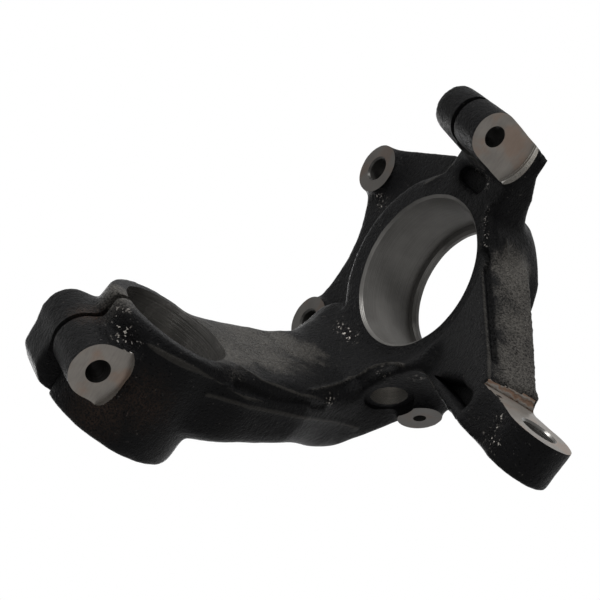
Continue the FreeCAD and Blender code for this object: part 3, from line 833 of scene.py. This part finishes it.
def ball_joint_tools():
    """Stud bore, slit, bolt hole and stepped spot face of the ball-joint clamp."""
    joint = cross_frame("ball_joint_bolt", STUD_TILT)
    front = -JOINT_SPAN / 2
    top = front - JOINT_OVERLAP
    wide = JOINT_CUT + JOINT_LEDGE
    wall = [
        (0.0, front - FAR / 3), (wide, front - FAR / 3), (wide, front - JOINT_LEDGE),
        (JOINT_CUT, front - JOINT_LEDGE), (JOINT_CUT, top), (0.0, top),
    ]
    slit = [
        (STUD_OFFSET, -FAR / 2), (STUD_OFFSET, JOINT_SLIT_TOP),
        (-FAR / 2, JOINT_SLIT_TOP), (-FAR / 2, -FAR / 2),
    ]
    hole = MOUNTS["ball_joint_bolt"]["dims"]["r_mm"]
    stud = MOUNTS["ball_joint_clamp"]["dims"]["r_mm"]
    inner = JOINT_CUT - 2 * JOINT_OVERLAP
    return [
        Turned("cut_joint_wall", joint, wall, "bright_bore", SEAT_SIDES),
        drum("cut_joint_face", joint, inner, front - SPARE, front, "faced_pad", SEAT_SIDES),
        Prism("cut_joint_slit", joint, slit, -SLIT / 2, SLIT / 2, "cast_paint"),
        drum("cut_joint_hole", joint, hole, -FAR, FAR, "dark_bore", BOLT_SIDES),
        drum("cut_stud", mount_frame("ball_joint_clamp"), stud, STUD_END, FAR / 2, "dark_bore", HOLE_SIDES),
    ]


def steering_arm_tools():
    """Milled face, hole and pocket of the steering arm."""
    tie = MOUNTS["tie_rod_hole"]["dims"]
    half = tie["length_mm"] / 2
    flat = frame_of((0, 0, TIE_FACE), (0, 0, 1), (0, 1, 0))
    flank = frame_of(FLANK_PLACE, FLANK_FACING)
    pocket = [POCKET_TIP] + arc(POCKET_END, POCKET_ROUND, 90.0, 270.0) + [POCKET_BEND]
    return [
        Prism("cut_tie_face", flat, tie_outline(), -FAR, 0.0, "milled_wall"),
        broken_hole("cut_tie_hole", mount_frame("tie_rod_hole"), tie["r_mm"], -half, half, "strut_bore"),
        Prism("cut_pocket", flank, pocket, -POCKET_DEPTH, POCKET_DEPTH, "cast_paint"),
    ]


def ear_tools():
    """Faces and holes of the caliper ears, and the pocket over the ball-joint clamp."""
    tools = []
    for name in ("caliper_bolt_lower", "caliper_bolt_upper"):
        hole = MOUNTS[name]["dims"]
        half = hole["length_mm"] / 2
        placed = mount_frame(name)
        wide = EAR_ROUND + SPARE
        tools.append(drum("cut_face_" + name, placed, wide, half, half + SPARE * 2, "faced_ear"))
        tools.append(broken_hole("cut_" + name, placed, hole["r_mm"], -half, half, "dark_bore"))
    face = frame_of(NECK_POCKET_PLACE, (0, -1, 0))
    slot = arc((NECK_POCKET_HALF, 0.0), NECK_POCKET_ROUND, -90.0, 90.0)
    slot += arc((-NECK_POCKET_HALF, 0.0), NECK_POCKET_ROUND, 90.0, 270.0)
    tools.append(Prism("cut_neck_pocket", face, slot, -NECK_POCKET_DEPTH, NECK_POCKET_ROOM, "cast_paint"))
    return tools


def sensor_tools():
    """Seats and holes of the wheel-speed sensor and its screw."""
    tools = []
    for name, face, wall, finish in (
        ("speed_sensor_bore", SENSOR_FACE, "bright_bore", "cast_paint"),
        ("speed_sensor_screw", SCREW_FACE, "dark_bore", "faced_ear"),
    ):
        hole = MOUNTS[name]["dims"]
        half = hole["length_mm"] / 2
        placed = mount_frame(name)
        tools.append(drum("cut_face_" + name, placed, face, half, half + SEAT_ROOM, finish, HOLE_SIDES))
        tools.append(drum("cut_" + name, placed, hole["r_mm"], -half, FAR / 2, wall, HOLE_SIDES))
    return tools


def every_tool():
    """All tools, in the order in which they cut."""
    tools = []
    for group in (hub_tools, strut_tools, ball_joint_tools, steering_arm_tools, ear_tools, sensor_tools):
        tools += group()
    return tools


# Work on the casting's mesh.
def apply_modifiers(thing):
    """The object's mesh becomes what its modifiers make of it."""
    graph = bpy.context.evaluated_depsgraph_get()
    shaped = bpy.data.meshes.new_from_object(thing.evaluated_get(graph))
    thing.modifiers.clear()
    thing.data = shaped


def take_away(body, tool):
    """The casting without what the tool covers."""
    cutter = add_object(tool.name, tool.mesh())
    step = body.modifiers.new(tool.name, "BOOLEAN")
    step.operation = "DIFFERENCE"
    step.solver = "MANIFOLD"
    step.object = cutter
    apply_modifiers(body)
    bpy.data.objects.remove(cutter)
    if not body.data.polygons:
        raise RuntimeError("%s left nothing of the casting" % tool.name)


def joined(name, meshes):
    """One mesh from several closed shells."""
    builder = bmesh.new()
    for mesh in meshes:
        builder.from_mesh(mesh)
    result = bpy.data.meshes.new(name)
    builder.to_mesh(result)
    builder.free()
    return result


def read_vectors(items, field):
    """A vector of each item of a mesh, one row each."""
    values = np.empty(len(items) * 3)
    items.foreach_get(field, values)
    return values.reshape(-1, 3)


def write_points(mesh, points):
    """The mesh with its points moved to new places."""
    mesh.vertices.foreach_set("co", points.ravel())
    mesh.update()


class Skin:
    """The casting's surface while it is smoothed."""

    def __init__(self, mesh):
        self.mesh = mesh
        pairs = np.empty(len(mesh.edges) * 2, dtype=np.int64)
        mesh.edges.foreach_get("vertices", pairs)
        first, second = pairs.reshape(-1, 2).T
        self.source = np.concatenate((second, first))
        self.target = np.concatenate((first, second))
        self.points = read_vectors(mesh.vertices, "co")
        self.links = np.bincount(self.target, minlength=len(self.points))

    def settle(self):
        """The mesh takes over the points."""
        write_points(self.mesh, self.points)

    def normals(self):
        """The outward direction at each point."""
        self.settle()
        return read_vectors(self.mesh.vertex_normals, "vector")

    def pull(self):
        """The way from each point to the middle of its neighbours."""
        middle = np.empty_like(self.points)
        for axis in range(3):
            middle[:, axis] = np.bincount(self.target, self.points[self.source, axis], len(self.points))
        return (middle.T / self.links).T - self.points

    def smooth(self, passes, hollow, proud):
        """Hollow corners fill faster than proud edges wear off."""
        for turn in range(passes):
            if turn % NORMALS_EVERY == 0:
                normals = self.normals()
            step = self.pull()
            outward = (step * normals).sum(axis=1)
            share = np.where(outward > 0.0, hollow, proud)
            self.points = self.points + (step.T * share).T

    def soften(self, middle, reach, passes):
        """Both kinds of corner flatten out around a place in millimetres."""
        away = np.linalg.norm(self.points / MM - np.array(middle), axis=1)
        share = HOLLOW_SHARE * np.clip(2.0 - 2.0 * away / reach, 0.0, 1.0)
        for _ in range(passes):
            self.points = self.points + (self.pull().T * share).T


# Places where the casting flows without edges: middle, reach, passes.
SOFT_PLACES = [
    ((0.0, -30.0, 62.0), 30.0, 70),
    ((-20.0, -60.0, 80.0), 36.0, 60),
    ((-35.0, -80.0, 108.0), 40.0, 60),
    ((-12.0, -100.0, 84.0), 34.0, 90),
    ((15.0, -25.0, 92.0), 40.0, 90),
    ((-30.0, -30.0, 100.0), 34.0, 80),
    ((-52.0, -100.0, 96.0), 22.0, 50),
    ((-44.0, -50.0, 92.0), 20.0, 60),
    ((-30.0, 8.0, -44.0), 22.0, 60),
    ((-14.0, -8.0, -50.0), 10.0, 40),
]

# Ridges and grooves of the casting: height and width, then the way, all in millimetres.
RIDGES = {
    "web_ridge": (0.9, 1.5, [
        (-30, -19.5, -33), (-49, -24.5, -25.3), (-76, -32, -13), (-104, -40, -1), (-118, -45, 5),
    ]),
    "web_groove": (-2.2, 1.6, [
        (-36, -18.5, -31.5), (-41, -20, -30), (-68, -27, -18), (-89, -33, -9), (-107.5, -38, -0.5),
    ]),
    "crease": (0.8, 1.3, [(-35, -10, -41), (-40.6, -9, -35.5), (-56, -10.6, -28.8)]),
    "parting": (0.35, 1.3, [(-60, -8, -29), (-68, -10.4, -25), (-94, -19, -11.7), (-118.7, -28.4, -0.3)]),
    "arm_band": (0.8, 2.0, [(-57, -125, 85), (-59, -107, 82.5), (-53, -67, 79.5), (-31, -16.5, 82.5)]),
    "arm_groove": (-1.4, 2.4, [
        (-56, -112, 75.5), (-56.5, -88, 75.5), (-51.5, -66, 72.5), (-47, -54.5, 72.5),
    ]),
    "arm_ridge": (1.0, 1.6, [
        (-52.5, -162, 75), (-60, -137, 75), (-59, -107, 79), (-55.5, -80, 75.5), (-52, -66, 73),
    ]),
    "arm_edge": (0.9, 1.6, [(-46, -110, 70), (-52.5, -100, 70), (-50.5, -74.5, 70.5), (-43.5, -50.5, 71)]),
    "sensor_edge": (1.8, 1.2, [
        (-46.5, -67, 67), (-36, -50.5, 65.5), (-25, -33.5, 61.5),
        (-30, -27.5, 48.5), (-35, -25, 43), (-50.5, -30.5, 35.5),
    ]),
    "rib_edge": (0.6, 1.6, [(-58, -27, 32.6), (-67, -28.5, 31.5), (-79, -33, 31.2)]),
    "seat_rim": (0.5, 1.4, [(34.5, -18.5, -36.7), (29.3, -18.5, -43.7), (24.9, -18.5, -52.2)]),
}
BEAD_WAY = [
    (-20.2, -18.5, -50.7), (-20.5, -18.5, -47), (-22.5, -18.5, -43.5),
    (-27, -18.5, -39.5), (-34.4, -18.5, -34),
]

# Runs of thick glossy paint, and places of painted glints: width and way in millimetres.
RUNS_AND_GLINT_PLACES = [
    (1.3, BEAD_WAY),
    (4.0, [(-35, -173.5, 74), (-42.5, -170.5, 76.5), (-48, -167, 80)]),
    (2.5, [(-41, -30.5, 47), (-38, -30.5, 48)]),
    (2.5, [(-53, -21, 38), (-50, -22, 39)]),
    (3.0, [(-44, -52.5, 70.5), (-42, -49, 70)]),
    (3.0, [(-142.5, -49, 14), (-143, -49.5, 21), (-150.5, -51, 22)]),
    (3.0, [(86, -2.5, -11.5), (78, -2.5, -9)]),
    (3.5, [(-6, -19, -58), (8, -17, -58)]),
    (3.0, [(8, -21.5, 51), (17, -21.5, 50.5), (22, -22, 51.5)]),
]


def resampled(way, pitch):
    """Points along a way of straight stretches, evenly apart."""
    points = []
    for start, end in zip(way, way[1:]):
        start, end = np.array(start, dtype=float), np.array(end, dtype=float)
        count = max(int(np.linalg.norm(end - start) / pitch), 1)
        points += [start + (end - start) * step / count for step in range(count)]
    return points + [np.array(way[-1], dtype=float)]


def line_strength(places, normals, width, way):
    """1 on a way across the casting and 0 beside it, for places in millimetres."""
    strength = np.zeros(len(places))
    for spot in resampled(way, WAY_PITCH):
        away = places - spot
        near = np.flatnonzero((abs(away) < WAY_REACH * (width + 1.0)).all(axis=1))
        off = (away[near] * normals[near]).sum(axis=1)
        aside = (away[near] ** 2).sum(axis=1) - off ** 2
        strength[near] = np.maximum(strength[near], np.exp(-aside / width ** 2) * (abs(off) < WAY_DEPTH))
    return strength


def raise_ridges(points, normals):
    """Points lifted or lowered along the casting's ridges and grooves."""
    lift = np.zeros(len(points))
    places = points / MM
    for height, width, way in RIDGES.values():
        lift += height * line_strength(places, normals, width, way)
    for number, spot in enumerate(resampled(BEAD_WAY, BEAD_PITCH)):
        away = np.linalg.norm(places - spot, axis=1)
        height = BEAD_HEIGHT + BEAD_CHANGE * math.sin(number * BEAD_TURN)
        lift += height * np.exp(-(away / BEAD_RADIUS) ** 2)
    return points + (normals.T * lift * MM).T


def mark_paint(mesh):
    """Marks of worn paint on ridges, of pooled paint and painted shade in grooves as less than zero, and of
    thick glossy paint with places of painted glints.
    """
    places = read_vectors(mesh.vertices, "co") / MM
    normals = read_vectors(mesh.vertex_normals, "vector")
    wear = np.zeros(len(places))
    for height, width, way in RIDGES.values():
        reach = width if height < 0.0 else 0.7 * width
        wear += math.copysign(1.0, height) * line_strength(places, normals, reach, way)
    mesh.attributes.new("wear", "FLOAT", "POINT").data.foreach_set("value", np.clip(wear, -1.0, 1.0))
    runs = np.zeros(len(places))
    for width, way in RUNS_AND_GLINT_PLACES:
        runs = np.maximum(runs, line_strength(places, normals, width, way))
    mesh.attributes.new("runs", "FLOAT", "POINT").data.foreach_set("value", runs)


def sand_print(points, normals):
    """Points moved by the long waves and the grain of a sand casting."""
    wave, grain = look().wave, look().sand_height
    lift = np.array([
        wave * noise.noise(place / (WAVE_LENGTH * MM)) + grain * noise.noise(place / (SAND_LENGTH * MM))
        for place in map(Vector, points)
    ])
    return points + (normals.T * (lift - wave * WAVE_SINK)).T


def rough_casting():
    """The casting as it left the mould: filled, grained and rounded."""
    base = frame["nodes"][NODE].data
    body = add_object("knuckle_skin", joined("knuckle_skin", [base] + fillings()))
    remesh = body.modifiers.new("skin", "REMESH")
    remesh.mode = "VOXEL"
    remesh.voxel_size = look().grain
    apply_modifiers(body)
    skin = Skin(body.data)
    skin.smooth(look().rounding, HOLLOW_SHARE, PROUD_SHARE)
    skin.smooth(EVEN_PASSES, HOLLOW_SHARE, HOLLOW_SHARE)
    for middle, reach, passes in SOFT_PLACES:
        skin.soften(middle, reach, passes)
    skin.points = raise_ridges(skin.points, skin.normals())
    skin.points = sand_print(skin.points, skin.normals())
    skin.settle()
    return body


def keep_in_box(mesh):
    """No point of the skin leaves the box of the solids."""
    points = read_vectors(mesh.vertices, "co")
    write_points(mesh, np.clip(points, np.array(CAD_BOX[0]), np.array(CAD_BOX[1])))


def sort_zones(mesh, tools):
    """Each face gets the finish of the tool that made it."""
    places = read_vectors(mesh.polygons, "center")
    normals = read_vectors(mesh.polygons, "normal")
    zone = np.zeros(len(places), dtype=np.int32)
    for tool in tools:
        zone[tool.touches(places, normals)] = ZONES.index(tool.finish)
    flat = (abs(places[:, 2] / MM - TIE_FACE) < Tool.close) & (abs(normals[:, 2]) > Tool.level)
    zone[flat & (zone == ZONES.index("milled_wall"))] = ZONES.index("faced_pad")
    mesh.polygons.foreach_set("material_index", zone)


def finishes():
    """The materials, in the order of the zones."""
    return [
        cast_paint(),
        bored_wall("bored_seat", (0, 1, 0)),
        bored_wall("strut_bore", MOUNTS["strut_clamp"]["axis"]),
        faced_metal("faced_pad"),
        faced_metal("faced_ear"),
        milled_wall(),
        bored_wall("bright_bore", MOUNTS["speed_sensor_bore"]["axis"]),
        bored_wall("dark_bore", (0.5, 0.6, 0.6)),
    ]


class KNUCKLE_OT_casting(bpy.types.Operator):
    """Build the casting with its machined places"""

    bl_idname = "knuckle.casting"
    bl_label = "Casting"

    def execute(self, context):
        body = rough_casting()
        tools = every_tool()
        for tool in tools:
            take_away(body, tool)
        mesh = body.data
        keep_in_box(mesh)
        mesh.materials.clear()
        for made in finishes():
            mesh.materials.append(made)
        sort_zones(mesh, tools)
        mark_paint(mesh)
        mesh.polygons.foreach_set("use_smooth", [True] * len(mesh.polygons))
        mesh.set_sharp_from_angle(angle=math.radians(SHARP_ANGLE))
        mesh.update()
        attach(body, "root")
        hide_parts(NODE)
        mesh.calc_loop_triangles()
        print("triangles of the casting:", len(mesh.loop_triangles))
        return {"FINISHED"}


# The camera's place and its right, up and back directions, solved from the photograph's circles.
CAMERA_PLACE = (-0.54843, -0.46587, -0.10837)
CAMERA_AXES = (
    (-0.388952, 0.743547, -0.543925),
    (0.471933, -0.346250, -0.810796),
    (-0.791199, -0.572057, -0.216230),
)
CAMERA_LENS = 82.1
CAMERA_SENSOR = 36.0

# Lamps: name, direction from the part, distance, size, power.
LAMPS = [
    ("key", (0.24, -0.33, -0.91), 1.1, 0.40, 12.5),
    ("side", (-0.80, -0.55, 0.10), 1.3, 0.8, 2.0),
    ("rear", (0.80, 0.35, 0.50), 1.4, 1.0, 8.0),
]
LAMP_TARGET = (-0.02, -0.07, 0.02)
WORLD_LEVEL = 0.32
FLOOR_PLACE = (-0.02, -0.06, -0.20)
FLOOR_RADIUS = 420.0
FLOOR_THICK = 2.0
FLOOR_SIDES = 128


def stage_floor():
    """A plain pale disc below the view."""
    placed = frame_of(shade(FLOOR_PLACE, 1.0 / MM), (0, 0, 1))
    disc = drum("floor", placed, FLOOR_RADIUS, -FLOOR_THICK, 0.0, steps=FLOOR_SIDES)
    plate = add_object("floor", disc.mesh())
    kit = Finish("pale_floor")
    colour = kit.mix(kit.noise(FLOOR_CLOUD), shade(look().floor, 0.985), look().floor)
    plate.data.materials.append(kit.finish(kit.surface(base_color=colour, roughness=0.9)))
    plate.visible_shadow = False


def stage_lamps():
    """Soft lamps around the part."""
    for name, direction, distance, size, power in LAMPS:
        light = bpy.data.lights.new(name, "AREA")
        light.shape = "DISK"
        light.size = size
        light.energy = power
        away = Vector(direction).normalized()
        add_object(name, light).matrix_world = frame_of(Vector(LAMP_TARGET) + away * distance, away)


def stage_surroundings():
    """White where the camera, a reflection or a clear body looks, and a plain level of light elsewhere."""
    world = bpy.data.worlds.new("plain_white")
    bpy.context.scene.world = world
    kit = Shader(world)
    seen = kit.node("ShaderNodeLightPath", {}, {}, "Is Camera Ray")
    path = seen.socket.node
    for ray in ("Is Glossy Ray", "Is Transmission Ray"):
        seen = seen.most(Wire(kit, path.outputs[ray]))
    level = kit.node("ShaderNodeMapRange", {}, {"Value": seen, "To Min": WORLD_LEVEL, "To Max": 1.0})
    light = kit.node("ShaderNodeBackground", {}, {"Color": (1.0, 1.0, 1.0, 1.0), "Strength": level})
    kit.node("ShaderNodeOutputWorld", {}, {"Surface": light})


def stage_camera():
    """The photograph's camera."""
    data = bpy.data.cameras.new("camera")
    data.sensor_width = CAMERA_SENSOR
    data.lens = CAMERA_LENS
    viewer = add_object("camera", data)
    placed = Matrix(CAMERA_AXES).transposed().to_4x4()
    placed.translation = Vector(CAMERA_PLACE)
    viewer.matrix_world = placed
    bpy.context.scene.camera = viewer


class KNUCKLE_OT_stage(bpy.types.Operator):
    """Set the floor, the lights, the white surroundings and the camera"""

    bl_idname = "knuckle.stage"
    bl_label = "Stage"

    def execute(self, context):
        stage_floor()
        stage_lamps()
        stage_surroundings()
        stage_camera()
        context.scene.view_settings.view_transform = "Standard"
        return {"FINISHED"}


class KNUCKLE_PT_panel(bpy.types.Panel):
    """The knuckle's sizes, colours and building steps"""

    bl_label = "Knuckle"
    bl_idname = "KNUCKLE_PT_panel"
    bl_space_type = "VIEW_3D"
    bl_region_type = "UI"
    bl_category = "Knuckle"

    def draw(self, context):
        for name in KnuckleLook.__annotations__:
            self.layout.prop(context.scene.knuckle_look, name)
        for step in STEPS:
            self.layout.operator(step.bl_idname)


STEPS = (KNUCKLE_OT_casting, KNUCKLE_OT_stage)
CLASSES = (KnuckleLook,) + STEPS + (KNUCKLE_PT_panel,)


def register():
    """The classes and the scene's own looks become known."""
    for kind in CLASSES:
        bpy.utils.register_class(kind)
    bpy.types.Scene.knuckle_look = PointerProperty(type=KnuckleLook)


def unregister():
    """The classes are taken out again."""
    del bpy.types.Scene.knuckle_look
    for kind in reversed(CLASSES):
        bpy.utils.unregister_class(kind)


def main():
    """Build the casting and the stage."""
    register()
    bpy.ops.knuckle.casting()
    bpy.ops.knuckle.stage()


if __name__ == "__main__":
    main()
